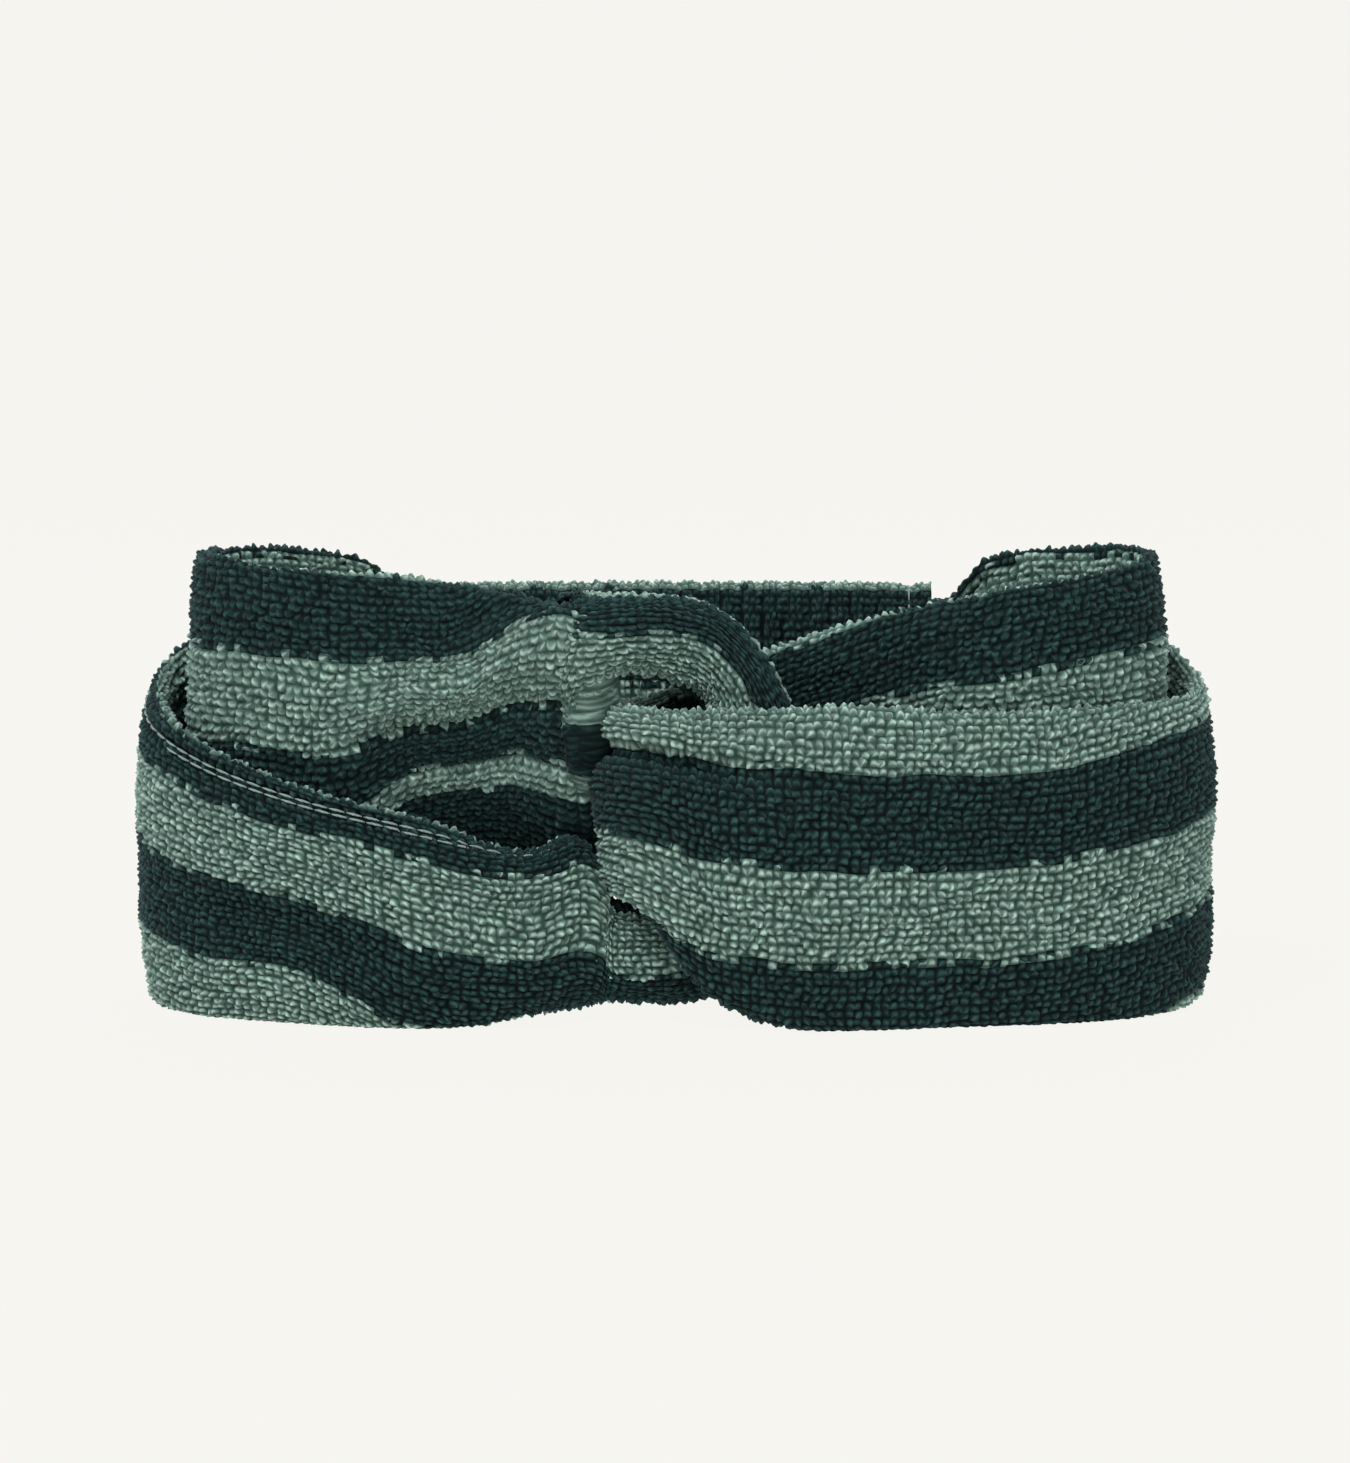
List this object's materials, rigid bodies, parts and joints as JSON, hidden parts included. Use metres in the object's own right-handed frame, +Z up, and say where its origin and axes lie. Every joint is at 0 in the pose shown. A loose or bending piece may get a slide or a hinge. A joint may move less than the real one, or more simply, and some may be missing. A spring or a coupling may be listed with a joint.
{
  "type": "twisted terry spa headband",
  "caption": "Striped terry-towelling headband with a front knot of two linked cloth loops and a gathered elastic casing at the back",
  "frame": {"origin": "on the table, under the middle of the headband's outline", "axes": "+X to the right when the knot is seen from the front, +Y from the knot towards the elastic casing at the back, +Z up"},
  "size_m": [0.236, 0.0944, 0.0981],
  "materials": {
    "terry_cloth": "cotton terry loops in lengthwise stripes of sage and dark teal",
    "elastic": "woven knitted elastic, off-white",
    "thread": "matt polyester sewing thread"
  },
  "bodies": {
    "front_wrap": {"left_loop": "terry_cloth", "right_loop": "terry_cloth", "left_loop_seam_thread": "thread", "right_loop_seam_thread": "thread", "left_join_stitch": "thread", "right_join_stitch": "thread"},
    "rear_band": {"rear_casing": "terry_cloth", "elastic_strap": "elastic", "casing_seam_thread": "thread", "left_elastic_tack": "thread", "right_elastic_tack": "thread"}
  },
  "joints": [
    {"name": "elastic_stretch", "type": "slide", "parent": "front_wrap", "child": "rear_band", "axis": [0, 1, 0], "range_m": [0, 0.045], "stiffness_N_per_m": 60, "deforming": ["rear_casing", "elastic_strap", "casing_seam_thread"]}
  ]
}
